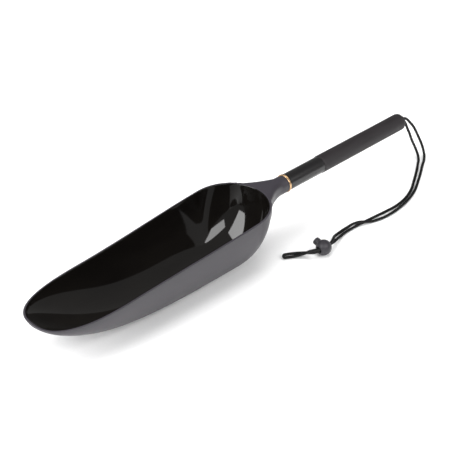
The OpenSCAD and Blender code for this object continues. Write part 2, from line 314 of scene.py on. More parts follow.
def cap_plastic():
    """Moulded nylon cap: dry satin black-brown with a soft grain."""
    m = new_material("cap_moulded_nylon")
    space = object_space(m)
    grain = node(m, "ShaderNodeTexNoise", [("Vector", space, "Vector")],
                 Scale=1 / (0.9 * MM), Detail=3.0)
    tint = ramp(m, grain, "Fac", [(0.35, "#161415"), (0.65, "#1e1c1d")])
    bump = node(m, "ShaderNodeBump", [("Height", grain, "Fac")], Strength=0.15, Distance=0.04 * MM)
    return close(m, node(m, "ShaderNodeBsdfPrincipled",
                         [("Base Color", tint, "Color"), ("Normal", bump, "Normal")],
                         Roughness=0.5, IOR=1.52))


def lock_plastic():
    """Moulded acetal: waxy dark grey, slightly mottled."""
    m = new_material("lock_moulded_acetal")
    space = object_space(m)
    cloud = node(m, "ShaderNodeTexNoise", [("Vector", space, "Vector")],
                 Scale=1 / (5 * MM), Detail=3.0)
    grain = node(m, "ShaderNodeTexNoise", [("Vector", space, "Vector")],
                 Scale=1 / (0.7 * MM), Detail=2.0)
    tint = ramp(m, cloud, "Fac", [(0.3, "#27252a"), (0.7, "#2f2d31")])
    bump = node(m, "ShaderNodeBump", [("Height", grain, "Fac")], Strength=0.12, Distance=0.04 * MM)
    return close(m, node(m, "ShaderNodeBsdfPrincipled",
                         [("Base Color", tint, "Color"), ("Normal", bump, "Normal")],
                         Roughness=0.45, IOR=1.48))


def cord_weave():
    """Braided polyester cord: matte black yarns with a slight sheen along each bundle."""
    m = new_material("cord_braided_polyester")
    place = node(m, "ShaderNodeUVMap", uv_map="along")
    space = node(m, "ShaderNodeMapping", [("Vector", place, "UV")], Scale=(900.0, 60.0, 1.0))
    yarn = node(m, "ShaderNodeTexNoise", [("Vector", space, "Vector")], Scale=1.0, Detail=3.0)
    tint = ramp(m, yarn, "Fac", [(0.3, "#040404"), (0.75, "#0b0a0b")])
    bump = node(m, "ShaderNodeBump", [("Height", yarn, "Fac")], Strength=0.4, Distance=0.08 * MM)
    return close(m, node(m, "ShaderNodeBsdfPrincipled",
                         [("Base Color", tint, "Color"), ("Normal", bump, "Normal")],
                         Roughness=0.72, IOR=1.4))


def machined_aluminium():
    """Turned aluminium: pale grey, with fine lines round the axis."""
    m = new_material("machined_aluminium")
    space = object_space(m, scale=(1, 0.1, 0.1))
    lines = node(m, "ShaderNodeTexNoise", [("Vector", space, "Vector")],
                 Scale=1 / (0.3 * MM), Detail=2.0)
    tint = ramp(m, lines, "Fac", [(0.35, "#b9babd"), (0.65, "#d5d6d8")])
    bump = node(m, "ShaderNodeBump", [("Height", lines, "Fac")], Strength=0.1, Distance=0.02 * MM)
    return close(m, node(m, "ShaderNodeBsdfPrincipled",
                         [("Base Color", tint, "Color"), ("Normal", bump, "Normal")],
                         Metallic=1.0, Roughness=0.3))


def spring_wire():
    """Drawn spring steel: bright grey with long draw marks."""
    m = new_material("spring_drawn_steel")
    space = object_space(m)
    marks = node(m, "ShaderNodeTexNoise", [("Vector", space, "Vector")],
                 Scale=1 / (0.6 * MM), Detail=2.0)
    tint = ramp(m, marks, "Fac", [(0.35, "#8e8f93"), (0.65, "#b2b3b6")])
    return close(m, node(m, "ShaderNodeBsdfPrincipled", [("Base Color", tint, "Color")],
                         Metallic=1.0, Roughness=0.25))


OUTSIDE = scoop_outside()
INSIDE = scoop_inside()
GOLD = ring_gold()
LACQUER = tube_lacquer()
RUBBER = grip_rubber()
NYLON = cap_plastic()
ACETAL = lock_plastic()
BRAID = cord_weave()
ALUMINIUM = machined_aluminium()
STEEL = spring_wire()


def finish_piece(obj, material, body, slot, *replaced):
    """Gives a piece its finish and its body, and hides the CAD nodes that it stands for."""
    if material is not None:
        obj.data.materials.clear()
        obj.data.materials.append(material)
    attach(obj, body)
    if replaced:
        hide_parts(*replaced)
    return obj


# ---- Cords ----

CORD_D = 3.2 * MM           # over the crests of the braid
CORD_R = CORD_D / 2
CORD_SIDES = 40
RING_STEP = 0.42 * MM
BRAID_BUNDLES = 8           # yarn bundles that wind each way
BRAID_LAY = 9 * MM          # length of one turn of a bundle
BRAID_DEPTH = 0.14 * MM     # how deep the valleys between bundles are

ROUTE_A = [(251.5, 0, 59.5), (272, 0, 59.5), (276.5, -0.5, 58.8), (281, -1, 56),
           (285.6, -1.5, 51), (291, -2, 45), (296, -2.5, 38), (300, -3.5, 30.5), (303.5, -5, 23),
           (306.5, -7, 15), (307.5, -9.5, 8), (305.5, -13, 3.2), (299, -18, 1.5),
           (286, -25.5, 1.5), (272, -34, 1.5), (256, -43, 1.5), (235, -54, 1.5),
           (216.5, -60.5, 1.5), (196.5, -64.5, 1.5), (178, -65.8, 1.5), (162, -64.5, 1.5),
           (149, -61, 1.8), (141, -58.2, 3.8), (134, -55.3, 5.1), (127, -52.4, 4.2),
           (120, -50.6, 2.2), (112, -50.2, 1.5), (104, -51.4, 2.3), (97, -54, 4.6),
           (90, -57.6, 7.4), (84, -61.6, 9.9), (78.5, -64.3, 10.1), (57, -64.5, 10.1),
           (53.2, -62, 9.8), (49.3, -58.4, 8.3), (46.3, -55.1, 6), (43.4, -51.7, 3.9),
           (40.3, -48.6, 2.5), (37, -45.8, 1.7), (30.4, -41.6, 1.5)]
ROUTE_B = [(251.5, 0, 56.5), (272, 0, 56.5), (275.6, 0, 55.3), (279, 0, 52), (282, 0, 47),
           (285.5, 0, 40.5), (289, -0.5, 34), (292.5, -1, 26), (296, -2.5, 18), (298.5, -5, 10.5),
           (298, -9, 4.5), (294, -13.5, 1.8), (286, -19, 1.5), (272, -28, 1.5),
           (252.5, -39.5, 1.5), (232.5, -50.5, 1.5), (214, -57, 1.5), (193.5, -59.8, 1.5),
           (176.5, -59, 1.5), (160.5, -57.4, 1.5), (145, -56, 1.5), (129.5, -54.8, 1.5),
           (119, -54.6, 1.5), (110, -55.2, 1.6), (102, -57, 2.5), (95, -59.2, 4.2),
           (89, -61.5, 6), (83.5, -63.2, 6.8), (78.5, -63.5, 7), (57, -63.5, 7),
           (53.2, -61.6, 6.6), (51.1, -58, 5.7), (48.9, -53.7, 4.8), (45.8, -49.5, 4.1),
           (42.1, -46.2, 3.9), (38.2, -43.8, 4), (34.7, -41.8, 4.1), (31.2, -40, 4.1)]


def smooth_path(points, step):
    """Points a step apart along a smooth curve through the given ones, which may be uneven."""
    p = np.array(points, float)
    gap = np.linalg.norm(np.diff(p, axis=0), axis=1)[:, None]
    slope = np.diff(p, axis=0) / gap
    inner = (slope[:-1] * gap[1:] + slope[1:] * gap[:-1]) / (gap[:-1] + gap[1:])
    tangent = np.concatenate([slope[:1], inner, slope[-1:]])
    t = np.linspace(0, 1, 40, endpoint=False)[:, None]
    parts = []
    for i in range(len(p) - 1):
        parts.append((2 * t ** 3 - 3 * t ** 2 + 1) * p[i]
                     + (t ** 3 - 2 * t ** 2 + t) * gap[i] * tangent[i]
                     + (3 * t ** 2 - 2 * t ** 3) * p[i + 1]
                     + (t ** 3 - t ** 2) * gap[i] * tangent[i + 1])
    fine = np.concatenate(parts + [p[-1:]])
    run = np.concatenate([[0], np.cumsum(np.linalg.norm(np.diff(fine, axis=0), axis=1))])
    even = np.linspace(0, run[-1], max(3, int(round(run[-1] / step)) + 1))
    return np.stack([np.interp(even, run, fine[:, k]) for k in range(3)], axis=1)


def frames_along(path):
    """Two square-on directions at each point, turned as little as possible along the path."""
    ahead = np.gradient(path, axis=0)
    ahead /= np.linalg.norm(ahead, axis=1)[:, None]
    side = np.zeros_like(path)
    first = np.cross(ahead[0], [0.0, 0.0, 1.0])
    side[0] = first / np.linalg.norm(first)
    for i in range(1, len(path)):
        s = side[i - 1] - ahead[i] * (side[i - 1] @ ahead[i])
        side[i] = s / np.linalg.norm(s)
    return side, np.cross(ahead, side)


def braid_height(turn, run):
    """Height of the braid's surface, 0 in its valleys to 1 on a bundle's crest."""
    a = turn * BRAID_BUNDLES + run * BRAID_BUNDLES / BRAID_LAY
    b = turn * BRAID_BUNDLES - run * BRAID_BUNDLES / BRAID_LAY
    over = (np.floor(a) + np.floor(b)) % 2 == 0
    across = np.where(over, a % 1.0, b % 1.0)
    along = np.where(over, b % 1.0, a % 1.0)
    crown = np.sqrt(np.maximum(0, 1 - (2 * across - 1) ** 2))
    dip = 0.55 + 0.45 * np.sin(np.pi * along)
    return crown * dip


def braided(name, points, radius):
    """Tube of braided cord along the points, with the braid raised on its surface."""
    path = smooth_path(points, RING_STEP)
    side, other = frames_along(path)
    run = np.arange(len(path)) * RING_STEP
    turn = np.arange(CORD_SIDES) / CORD_SIDES
    height = braid_height(turn[None, :], run[:, None])
    r = radius - BRAID_DEPTH * (1 - height)
    angle = 2 * np.pi * turn[None, :, None]
    ring = path[:, None] + r[:, :, None] * (np.cos(angle) * side[:, None]
                                            + np.sin(angle) * other[:, None])
    count = len(path)
    points_out = np.concatenate([ring.reshape(-1, 3), path[:1], path[-1:]])
    faces = []
    for i in range(count - 1):
        for k in range(CORD_SIDES):
            n = (k + 1) % CORD_SIDES
            faces.append((i * CORD_SIDES + k, (i + 1) * CORD_SIDES + k,
                          (i + 1) * CORD_SIDES + n, i * CORD_SIDES + n))
    start, stop, last = count * CORD_SIDES, count * CORD_SIDES + 1, (count - 1) * CORD_SIDES
    for k in range(CORD_SIDES):
        n = (k + 1) % CORD_SIDES
        faces.append((start, k, n))
        faces.append((stop, last + n, last + k))
    mesh = bpy.data.meshes.new(name)
    mesh.from_pydata(points_out.tolist(), [], faces)
    uv = mesh.uv_layers.new(name="along")
    loops = np.zeros(len(mesh.loops), np.int32)
    mesh.loops.foreach_get("vertex_index", loops)
    which = np.minimum(loops, start - 1)
    coords = np.stack([(which // CORD_SIDES) * RING_STEP, (which % CORD_SIDES) / CORD_SIDES],
                      axis=1)
    uv.data.foreach_set("uv", coords.astype(np.float32).ravel())
    obj = bpy.data.objects.new(name, mesh)
    bpy.context.scene.collection.objects.link(obj)
    tidy_mesh(obj, 1e-7)
    smooth(obj, 60)
    return obj, path


def millimetres(points):
    return [tuple(c * MM for c in p) for p in points]


cord_a, path_a = braided("cord_a", millimetres(ROUTE_A), CORD_R)
cord_b, path_b = braided("cord_b", millimetres(ROUTE_B), CORD_R)
finish_piece(cord_a, BRAID, "handle", "cord_weave", "lanyard_cord_a")
finish_piece(cord_b, BRAID, "handle", "cord_weave", "lanyard_cord_b")

# ---- Turned pieces ----

SIDES = 96


def turned(name, profile, sides=SIDES, place=None):
    """Closed shape turned round the local X axis: profile is [(x, r), ...], and it closes on
    itself. A radius of 0 closes an end on the axis."""
    place = place or Matrix.Translation((0, 0, AXIS_Z))
    shut = profile[0][1] > 0
    first_x, first_r = profile[0] if shut else profile[1]
    deselect()
    bpy.ops.mesh.primitive_circle_add(vertices=sides, radius=first_r,
                                      fill_type="NOTHING" if shut else "TRIFAN",
                                      location=(first_x, 0, 0), rotation=(0, math.pi / 2, 0))
    obj = named(name)
    settle(obj)
    if not shut:
        centre = min(obj.data.vertices, key=lambda v: v.co.y ** 2 + v.co.z ** 2)
        centre.co.x = profile[0][0]
    bpy.ops.object.mode_set(mode="EDIT")
    bpy.ops.mesh.select_all(action="DESELECT")
    bpy.ops.mesh.select_mode(type="EDGE")
    bpy.ops.object.mode_set(mode="OBJECT")
    for edge in obj.data.edges:
        edge.select = all(math.hypot(obj.data.vertices[i].co.y, obj.data.vertices[i].co.z)
                          > first_r * 0.5 for i in edge.vertices)
    bpy.ops.object.mode_set(mode="EDIT")
    x, r = first_x, first_r
    for next_x, next_r in (profile[1:] if shut else profile[2:]):
        bpy.ops.mesh.extrude_edges_move(TRANSFORM_OT_translate={"value": (next_x - x, 0, 0)})
        k = max(next_r, 1e-7) / r
        bpy.ops.transform.resize(value=(1, k, k), center_override=(next_x, 0, 0))
        x, r = next_x, max(next_r, 1e-7)
    bpy.ops.object.mode_set(mode="OBJECT")
    tidy_mesh(obj, 2e-6)
    obj.data.transform(place)
    return obj


def arc(cx, cr, radius, start, stop, steps=6):
    """Points of a round, from one angle to the other, in degrees from the X axis."""
    return [(cx + radius * math.cos(math.radians(start + (stop - start) * i / steps)),
             cr + radius * math.sin(math.radians(start + (stop - start) * i / steps)))
            for i in range(steps + 1)]


# Trim ring: two rounded edges and a shallow groove round its middle
ring_r = (ring_high.z - ring_low.z) / 2
ring_x0, ring_x1 = ring_low.x, ring_high.x
ring_bore = 5.05 * MM
edge_r = 0.45 * MM
ring_mid = (ring_x0 + ring_x1) / 2
ring = turned("trim_ring_turned",
              [(ring_x0, ring_bore + 0.2 * MM)]
              + arc(ring_x0 + edge_r, ring_r - edge_r, edge_r, 180, 90)
              + [(ring_mid - 0.28 * MM, ring_r), (ring_mid - 0.18 * MM, ring_r - 0.1 * MM),
                 (ring_mid + 0.18 * MM, ring_r - 0.1 * MM), (ring_mid + 0.28 * MM, ring_r)]
              + arc(ring_x1 - edge_r, ring_r - edge_r, edge_r, 90, 0)
              + [(ring_x1, ring_bore + 0.2 * MM), (ring_x1 - 0.2 * MM, ring_bore),
                 (ring_x0 + 0.2 * MM, ring_bore), (ring_x0, ring_bore + 0.2 * MM)], 128)
smooth(ring, 40)
finish_piece(ring, GOLD, "joint_ring", "ring_gold", "trim_ring")

# Handle tube: thin wall, rounded lip next to the ring
tube_r = (tube_high.z - tube_low.z) / 2
tube_bore = tube_r - 1.2 * MM
lip = 0.4 * MM
tube = turned("handle_tube_wrapped",
              [(tube_low.x, tube_bore + 0.1 * MM)]
              + arc(tube_low.x + lip, tube_r - lip, lip, 180, 90)
              + [(grip_low.x, tube_r), (tube_high.x, tube_r), (tube_high.x, tube_bore),
                 (tube_low.x + 0.1 * MM, tube_bore), (tube_low.x, tube_bore + 0.1 * MM)], 128)
smooth(tube, 40)
finish_piece(tube, LACQUER, "handle", "tube_lacquer", "handle_tube")

# Grip sleeve: shrunk on, with a soft rolled front edge and faint ripples along it
grip_r = (grip_high.z - grip_low.z) / 2
ripples = 26
ripple_depth = 0.04 * MM
sleeve_points = [(grip_low.x + (grip_high.x - grip_low.x) * (0.02 + 0.98 * i / (2 * ripples)),
                  grip_r - ripple_depth * (i % 2)) for i in range(1, 2 * ripples)]
sleeve = turned("grip_sleeve_shrunk",
                [(grip_low.x + 0.1 * MM, tube_r)]
                + arc(grip_low.x + 0.5 * MM, grip_r - 0.5 * MM, 0.5 * MM, 180, 90, 5)
                + sleeve_points
                + [(grip_high.x, grip_r), (grip_high.x, tube_r), (grip_low.x + 0.1 * MM, tube_r)],
                128)
smooth(sleeve, 40)
finish_piece(sleeve, RUBBER, "handle", "grip_rubber", "grip_sleeve")

# End cap: plug, rounded shoulder, nose with a chamfered cord hole
cap_plug, cap_dome = 12 * MM, 4.3 * MM
nose_r = 5.8 * MM
cord_hole_r = 3.3 * MM
shoulder_x = cap_low.x + cap_plug
cap_bore_r = tube_bore
neck_r = nose_r + 0.5 * MM
cap = turned("end_cap_moulded",
             [(cap_low.x, cord_hole_r), (cap_low.x, cap_bore_r - 0.6 * MM),
              (cap_low.x + 0.6 * MM, cap_bore_r - 0.02 * MM),
              (shoulder_x - 0.05 * MM, cap_bore_r - 0.02 * MM), (shoulder_x, grip_r - 0.35 * MM),
              (shoulder_x + 0.3 * MM, grip_r - 0.08 * MM)]
             + [(shoulder_x + cap_dome * math.sin(math.radians(q)),
                 neck_r + (grip_r - neck_r) * math.cos(math.radians(q)) ** 0.9)
                for q in range(8, 88, 8)]
             + arc(shoulder_x + cap_dome + 0.45 * MM, nose_r + 0.45 * MM, 0.45 * MM, 250, 270, 2)
             + [(cap_high.x - 0.6 * MM, nose_r)]
             + arc(cap_high.x - 0.6 * MM, nose_r - 0.6 * MM, 0.6 * MM, 90, 0, 5)[1:]
             + [(cap_high.x - 0.35 * MM, cord_hole_r), (cap_low.x, cord_hole_r)], 128)
smooth(cap, 40)
finish_piece(cap, NYLON, "handle", "cap_plastic", "end_cap")

# ---- Screw joint ----

PITCH = 1.27 * MM
THREAD_R = 4.75 * MM
THREAD_DEPTH = 0.62 * MM
NECK_FACE_X = scoop_high.x
BUSH_DEPTH = 15 * MM


def thread_height(x, angle):
    """Height of a right-hand thread's profile at x and angle, 0 at its root to 1 at its crest."""
    phase = (x / PITCH - angle / (2 * math.pi)) % 1.0
    return min(1.0, max(0.0, (0.5 - abs(phase - 0.5)) * 2 * 1.25 - 0.125))


def cut_thread(obj, x0, x1, fade, root, step):
    """Moves the mesh's points near radius root out by the thread's profile between x0 and x1."""
    for v in obj.data.vertices:
        y, z = v.co.y, v.co.z - AXIS_Z
        r = math.hypot(y, z)
        if abs(r - root) < 0.01 * MM and x0 <= v.co.x <= x1:
            ease = min(1.0, (v.co.x - x0) / fade, (x1 - v.co.x) / fade)
            k = (root + step * ease * thread_height(v.co.x, math.atan2(z, y))) / r
            v.co.y, v.co.z = y * k, AXIS_Z + z * k


stud_low, stud_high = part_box("threaded_stud")
anchor_r = 6 * MM
thread_x0 = NECK_FACE_X + 0.2 * MM
root_r = THREAD_R - THREAD_DEPTH
thread_rings = [(thread_x0 + (stud_high.x - 0.9 * MM - thread_x0) * i / 110, root_r)
                for i in range(111)]
stud = turned("threaded_stud_cut",
              [(stud_low.x, 0), (stud_low.x, anchor_r - 0.5 * MM),
               (stud_low.x + 0.5 * MM, anchor_r), (stud_low.x + 6 * MM, anchor_r),
               (stud_low.x + 6.8 * MM, anchor_r - 0.8 * MM),
               (stud_low.x + 8.8 * MM, anchor_r - 0.8 * MM), (stud_low.x + 9.6 * MM, anchor_r),
               (NECK_FACE_X - 0.3 * MM, anchor_r), (NECK_FACE_X, anchor_r - 0.3 * MM),
               (NECK_FACE_X, root_r)]
              + thread_rings
              + [(stud_high.x, root_r - 0.7 * MM), (stud_high.x, 0)], 64)
cut_thread(stud, thread_x0, stud_high.x - 0.9 * MM, 1.0 * MM, root_r, THREAD_DEPTH)
smooth(stud, 25)
finish_piece(stud, ALUMINIUM, "scoop_head", "stud_aluminium", "threaded_stud")

bush_low, bush_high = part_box("threaded_bush")
hole_end = bush_low.x + BUSH_DEPTH
hole_r = THREAD_R + 0.06 * MM
hole_rings = [(hole_end - 0.6 * MM - (hole_end - 1.2 * MM - bush_low.x) * i / 110, hole_r)
              for i in range(111)]
bush = turned("threaded_bush_tapped",
              [(bush_low.x, hole_r + 0.45 * MM), (bush_low.x, tube_bore - 0.4 * MM),
               (bush_low.x + 0.4 * MM, tube_bore - 0.01 * MM),
               (bush_high.x - 0.4 * MM, tube_bore - 0.01 * MM),
               (bush_high.x, tube_bore - 0.4 * MM), (bush_high.x, hole_r - 1 * MM),
               (hole_end + 1 * MM, hole_r - 1 * MM), (hole_end, hole_r - 0.4 * MM)]
              + hole_rings + [(bush_low.x, hole_r + 0.45 * MM)], 64)
for v in bush.data.vertices:
    away = math.hypot(v.co.y, v.co.z - AXIS_Z)
    if abs(away - hole_r) < 0.01 * MM and v.co.x > bush_low.x + 0.55 * MM:
        pull = THREAD_DEPTH * (1 - thread_height(v.co.x, math.atan2(v.co.z - AXIS_Z, v.co.y)))
        ratio = (hole_r - pull) / away
        v.co.y, v.co.z = v.co.y * ratio, AXIS_Z + (v.co.z - AXIS_Z) * ratio
smooth(bush, 25)
finish_piece(bush, ALUMINIUM, "handle", "bush_aluminium", "threaded_bush")

# ---- Scoop ----

TIP_X = scoop_low.x
BACK_X = JOINT_X - 40 * MM
BOWL_LENGTH = BACK_X - TIP_X
SIDE_Y = scoop_high.y
WALL = 2.4 * MM
RIM_RISE = 10.9 * MM
RIM_DIP = 14 * MM
TIP_DROP = 6 * MM
SIDE_TAPER = 3.5 * MM
BELLY_BACK = 56 * MM
RAMP_LENGTH = 202 * MM
NOSE_LENGTH = 92 * MM
LIP_HEIGHT = 2.6 * MM
NOSE_POWER = 2.7
SECTION_POWER = 2.15
BACK_POWER = 1.9
RAMP_POWER = 2.85
RIM_ROUND = 0.55 * MM


def rim_z(x):
    u = (BACK_X - x) / BOWL_LENGTH
    return AXIS_Z + RIM_RISE - (RIM_RISE + TIP_DROP) * u - RIM_DIP * u * u * (1 - u)


def half_width(x, inset):
    """Half the bowl's width at x, for a wall that lies inset inside the outer one."""
    w = SIDE_Y - inset
    b = (x - (BACK_X - SIDE_Y)) / w
    f = (TIP_X + NOSE_LENGTH - x) / (NOSE_LENGTH - inset)
    t = (BACK_X - SIDE_Y - x) / (BACK_X - SIDE_Y - TIP_X - NOSE_LENGTH)
    round_back = w * np.sqrt(np.maximum(0, 1 - b * b))
    nose = ((w - SIDE_TAPER)
            * np.maximum(0, 1 - np.maximum(f, 0) ** NOSE_POWER) ** (1 / NOSE_POWER))
    return np.where(b > 0, round_back,
                    np.where(f > 0, nose, w - SIDE_TAPER * t * t * (3 - 2 * t)))


def keel_z(x, inset):
    """Height of the belly's lowest line at x."""
    back_top = rim_z(BACK_X - inset)
    a = (x - (BACK_X - BELLY_BACK)) / (BELLY_BACK - inset)
    b = (TIP_X + RAMP_LENGTH - x) / (RAMP_LENGTH - inset)
    tip_z = rim_z(TIP_X) - (0 if inset > 0 else LIP_HEIGHT)
    rise = np.maximum(0, 1 - np.maximum(a, 0) ** BACK_POWER) ** (1 / BACK_POWER)
    back = back_top - (back_top - inset) * rise
    front = inset + (tip_z - inset) * np.maximum(b, 0) ** RAMP_POWER
    return np.where(a > 0, back, np.where(b > 0, front, inset))


def bowl_z(x, y, inset, drop=0.0):
    """Height of the bowl's wall at x and y. Its edge is drop below the rim."""
    w = half_width(x, inset)
    t = np.clip(np.abs(y) / np.maximum(w, 1e-9), 0, 1)
    top = rim_z(x) - drop
    low = np.minimum(top, keel_z(x, inset))
    return top - (top - low) * (1 - t ** SECTION_POWER) ** (1 / SECTION_POWER)


GRID_LONG, GRID_ACROSS = 150, 60


def bowl_sheet(name, inset, drop):
    """Open bowl: a square grid laid over the bowl's plan, so that no line of it ends in a pole,
    with its rows closer together towards the rim, where the wall is steep."""
    deselect()
    bpy.ops.mesh.primitive_grid_add(x_subdivisions=GRID_LONG, y_subdivisions=GRID_ACROSS, size=2)
    obj = named(name)
    co = np.array([v.co for v in obj.data.vertices], float)
    s, t = co[:, 0], co[:, 1]
    disc_u, disc_v = s * np.sqrt(1 - t * t / 2), t * np.sqrt(1 - s * s / 2)
    radius = np.clip(np.hypot(disc_u, disc_v), 1e-9, 1)
    edge = (np.abs(s) > 1 - 1e-6) | (np.abs(t) > 1 - 1e-6)
    radius[edge] = 1
    share = np.sin(radius * math.pi / 2) / radius
    u, v = np.clip(disc_u * share, -1, 1), disc_v * share
    low_x, high_x = TIP_X + inset, BACK_X - inset
    x = low_x + (high_x - low_x) * (u + 1) / 2
    across = np.where(edge, np.sign(v), np.clip(v / np.sqrt(np.maximum(1 - u * u, 1e-12)), -1, 1))
    across[np.abs(v) < 1e-9] = 0
    y = half_width(x, inset) * across
    z = np.where(edge, rim_z(x) - drop, bowl_z(x, y, inset, drop))
    out = np.stack([x, y, z], axis=1)
    obj.data.vertices.foreach_set("co", out.astype(np.float32).ravel())
    obj.data.update()
    return obj


def rim_edges(obj):
    """Selects the sheet's open edge in edit mode."""
    pick(obj)
    bpy.ops.object.mode_set(mode="EDIT")
    bpy.ops.mesh.select_mode(type="EDGE")
    bpy.ops.mesh.select_all(action="DESELECT")
    bpy.ops.mesh.select_non_manifold(extend=False)


def selected_points(obj):
    return [v for v in obj.data.vertices if v.select]


def turn_rim(obj, inset, inward, steps=4):
    """Extrudes the open edge into a quarter round that ends level with the rim."""
    for k in range(1, steps + 1):
        rim_edges(obj)
        bpy.ops.mesh.extrude_edges_move(TRANSFORM_OT_translate={"value": (0, 0, 0)})
        bpy.ops.object.mode_set(mode="OBJECT")
        q = math.pi / 2 * k / steps
        shift = RIM_ROUND * (1 - math.cos(q)) - RIM_ROUND * (1 - math.cos(q - math.pi / 2 / steps))
        rise = RIM_ROUND * math.sin(q) - RIM_ROUND * math.sin(q - math.pi / 2 / steps)
        for v in selected_points(obj):
            inner_x = min(max(v.co.x, TIP_X + NOSE_LENGTH), BACK_X - SIDE_Y)
            away = Vector((v.co.x - inner_x, v.co.y, 0))
            if v.co.x < TIP_X + NOSE_LENGTH:
                f = (TIP_X + NOSE_LENGTH - v.co.x) / (NOSE_LENGTH - inset)
                w = SIDE_Y - inset - SIDE_TAPER
                away = Vector((-(f ** (NOSE_POWER - 1)) / (NOSE_LENGTH - inset),
                               math.copysign((abs(v.co.y) / w) ** (NOSE_POWER - 1) / w, v.co.y), 0))
            away.normalize()
            v.co += Vector((0, 0, rise)) - away * shift * inward
    return obj


def bowl_shell():
    """Outer and inner walls, each with its rounded edge, joined by the rim's flat land."""
    outer = turn_rim(bowl_sheet("bowl_outer", 0.0, RIM_ROUND), 0.0, 1)
    inner = turn_rim(bowl_sheet("bowl_inner", WALL, RIM_ROUND), WALL, -1)
    outer.data.materials.append(OUTSIDE)
    outer.data.materials.append(INSIDE)
    inner.data.materials.append(OUTSIDE)
    inner.data.materials.append(INSIDE)
    for face in inner.data.polygons:
        face.material_index = 1
    for face in outer.data.polygons:
        face.material_index = 0
    deselect()
    inner.select_set(True)
    outer.select_set(True)
    bpy.context.view_layer.objects.active = outer
    bpy.ops.object.join()
    rim_edges(outer)
    bpy.ops.mesh.bridge_edge_loops()
    bpy.ops.object.mode_set(mode="OBJECT")
    for face in outer.data.polygons:
        if face.select:
            face.material_index = 0
    return tidy_mesh(outer)


NECK_R = 9.7 * MM
NECK_FLARE = 23.5 * MM
NECK_STRAIGHT = 10 * MM
NECK_FALL = 17 * MM
NECK_REACH = 55 * MM        # length over which the neck flares
NECK_SIDES = 96


def neck_radius(x, turn):
    """Radius of the neck from the handle's axis at x, in the direction turn round it."""
    run = NECK_FACE_X - x
    full = NECK_REACH - 1.2 * MM
    f = min(0.93, max(0.0, (run - NECK_STRAIGHT) / (full - NECK_STRAIGHT)))
    wide = NECK_R + NECK_FLARE * f ** 1.7
    up = NECK_R + (RIM_RISE - NECK_R) * min(1.0, f / 0.66)
    down = NECK_R + NECK_FALL * f ** 1.5
    c, s = abs(math.cos(turn)), math.sin(turn)
    power = 2 + 7 * f if s >= 0 else 2 - 0.35 * f
    return 1 / ((c / wide) ** power + (abs(s) / (up if s >= 0 else down)) ** power) ** (1 / power)


def wall_radius(x, turn):
    """Distance from the axis to the bowl's outer wall at x, in the direction turn; 0 outside."""
    c, s = math.cos(turn), math.sin(turn)
    if x > BACK_X - 0.02 * MM:
        return 0.0
    if keel_z(np.array(x), 0.0) > AXIS_Z:
        return 0.0
    low, high = 0.0, 0.12
    for _ in range(30):
        mid = (low + high) / 2
        y, z = mid * c, AXIS_Z + mid * s
        w = float(half_width(np.array(x), 0.0))
        inside = abs(y) < w and float(bowl_z(np.array(x), np.array(y), 0.0)) < z
        low, high = (mid, high) if inside else (low, mid)
    return low


def blend_radius(a, b, k):
    """The larger of two radii, rounded over where they are within k of each other."""
    h = max(k - abs(a - b), 0.0) / k
    return max(a, b) + h * h * k / 4


NECK_STATIONS = 64
NECK_DEPTH = 63 * MM        # how far the neck's mesh runs back from its face, into the bowl
SKIN = 0.15 * MM            # how far below the bowl's wall the mesh runs where it isn't seen


def neck_body():
    """Neck, from a round face at the ring to a flat deck that is level with the rim, with a
    rounded inner corner where its underside meets the bowl's wall."""
    deselect()
    bpy.ops.mesh.primitive_circle_add(vertices=NECK_SIDES, radius=NECK_R, fill_type="NGON",
                                      location=(NECK_FACE_X, 0, AXIS_Z),
                                      rotation=(0, math.pi / 2, 0))
    obj = named("neck")
    settle(obj)
    bpy.ops.object.mode_set(mode="EDIT")
    bpy.ops.mesh.select_all(action="SELECT")
    for _ in range(NECK_STATIONS):
        bpy.ops.mesh.extrude_region_move(
            TRANSFORM_OT_translate={"value": (-NECK_DEPTH / NECK_STATIONS, 0, 0)})
    bpy.ops.object.mode_set(mode="OBJECT")
    for v in obj.data.vertices:
        turn = math.atan2(v.co.z - AXIS_Z, v.co.y)
        x = v.co.x
        wall = wall_radius(x, turn)
        corner = (6 + 8 * max(0.0, -math.sin(turn))) * MM
        r = neck_radius(x, turn)
        if wall > 0:
            r = blend_radius(r, wall - SKIN, corner)
        y, z = r * math.cos(turn), AXIS_Z + r * math.sin(turn)
        deck = rim_z(min(x, BACK_X)) - 0.03 * MM
        v.co.y, v.co.z = y, min(z, deck)
    return tidy_mesh(obj)


def cavity_plug():
    """Closed solid that fills the bowl to the middle of its wall, and stands above the rim."""
    plug = bowl_sheet("cavity", WALL / 2, 0.0)
    rim_edges(plug)
    bpy.ops.mesh.extrude_edges_move(TRANSFORM_OT_translate={"value": (0, 0, 12 * MM)})
    bpy.ops.mesh.edge_face_add()
    bpy.ops.object.mode_set(mode="OBJECT")
    return tidy_mesh(plug)


scoop = bowl_shell()
neck = boolean(neck_body(), cavity_plug(), "DIFFERENCE")
deselect()
bpy.ops.mesh.primitive_cylinder_add(vertices=64, radius=anchor_r + 0.02 * MM, depth=44 * MM,
                                    location=(NECK_FACE_X, 0, AXIS_Z), rotation=(0, math.pi / 2, 0))
socket = settle(named("socket"))
neck = boolean(neck, socket, "DIFFERENCE")
neck.data.materials.append(OUTSIDE)
scoop = boolean(scoop, neck, "UNION")
scoop.name = "scoop_moulded"
tidy_mesh(scoop, 1e-6, outward=False)
smooth(scoop, 38)
finish_piece(scoop, None, "scoop_head", "scoop_plastic", "scoop")

# ---- Lanyard's pieces ----

KNOT_R = 4.1 * MM
KNOT_X = 246.9 * MM         # its middle, inside the tube and against the cap's plug


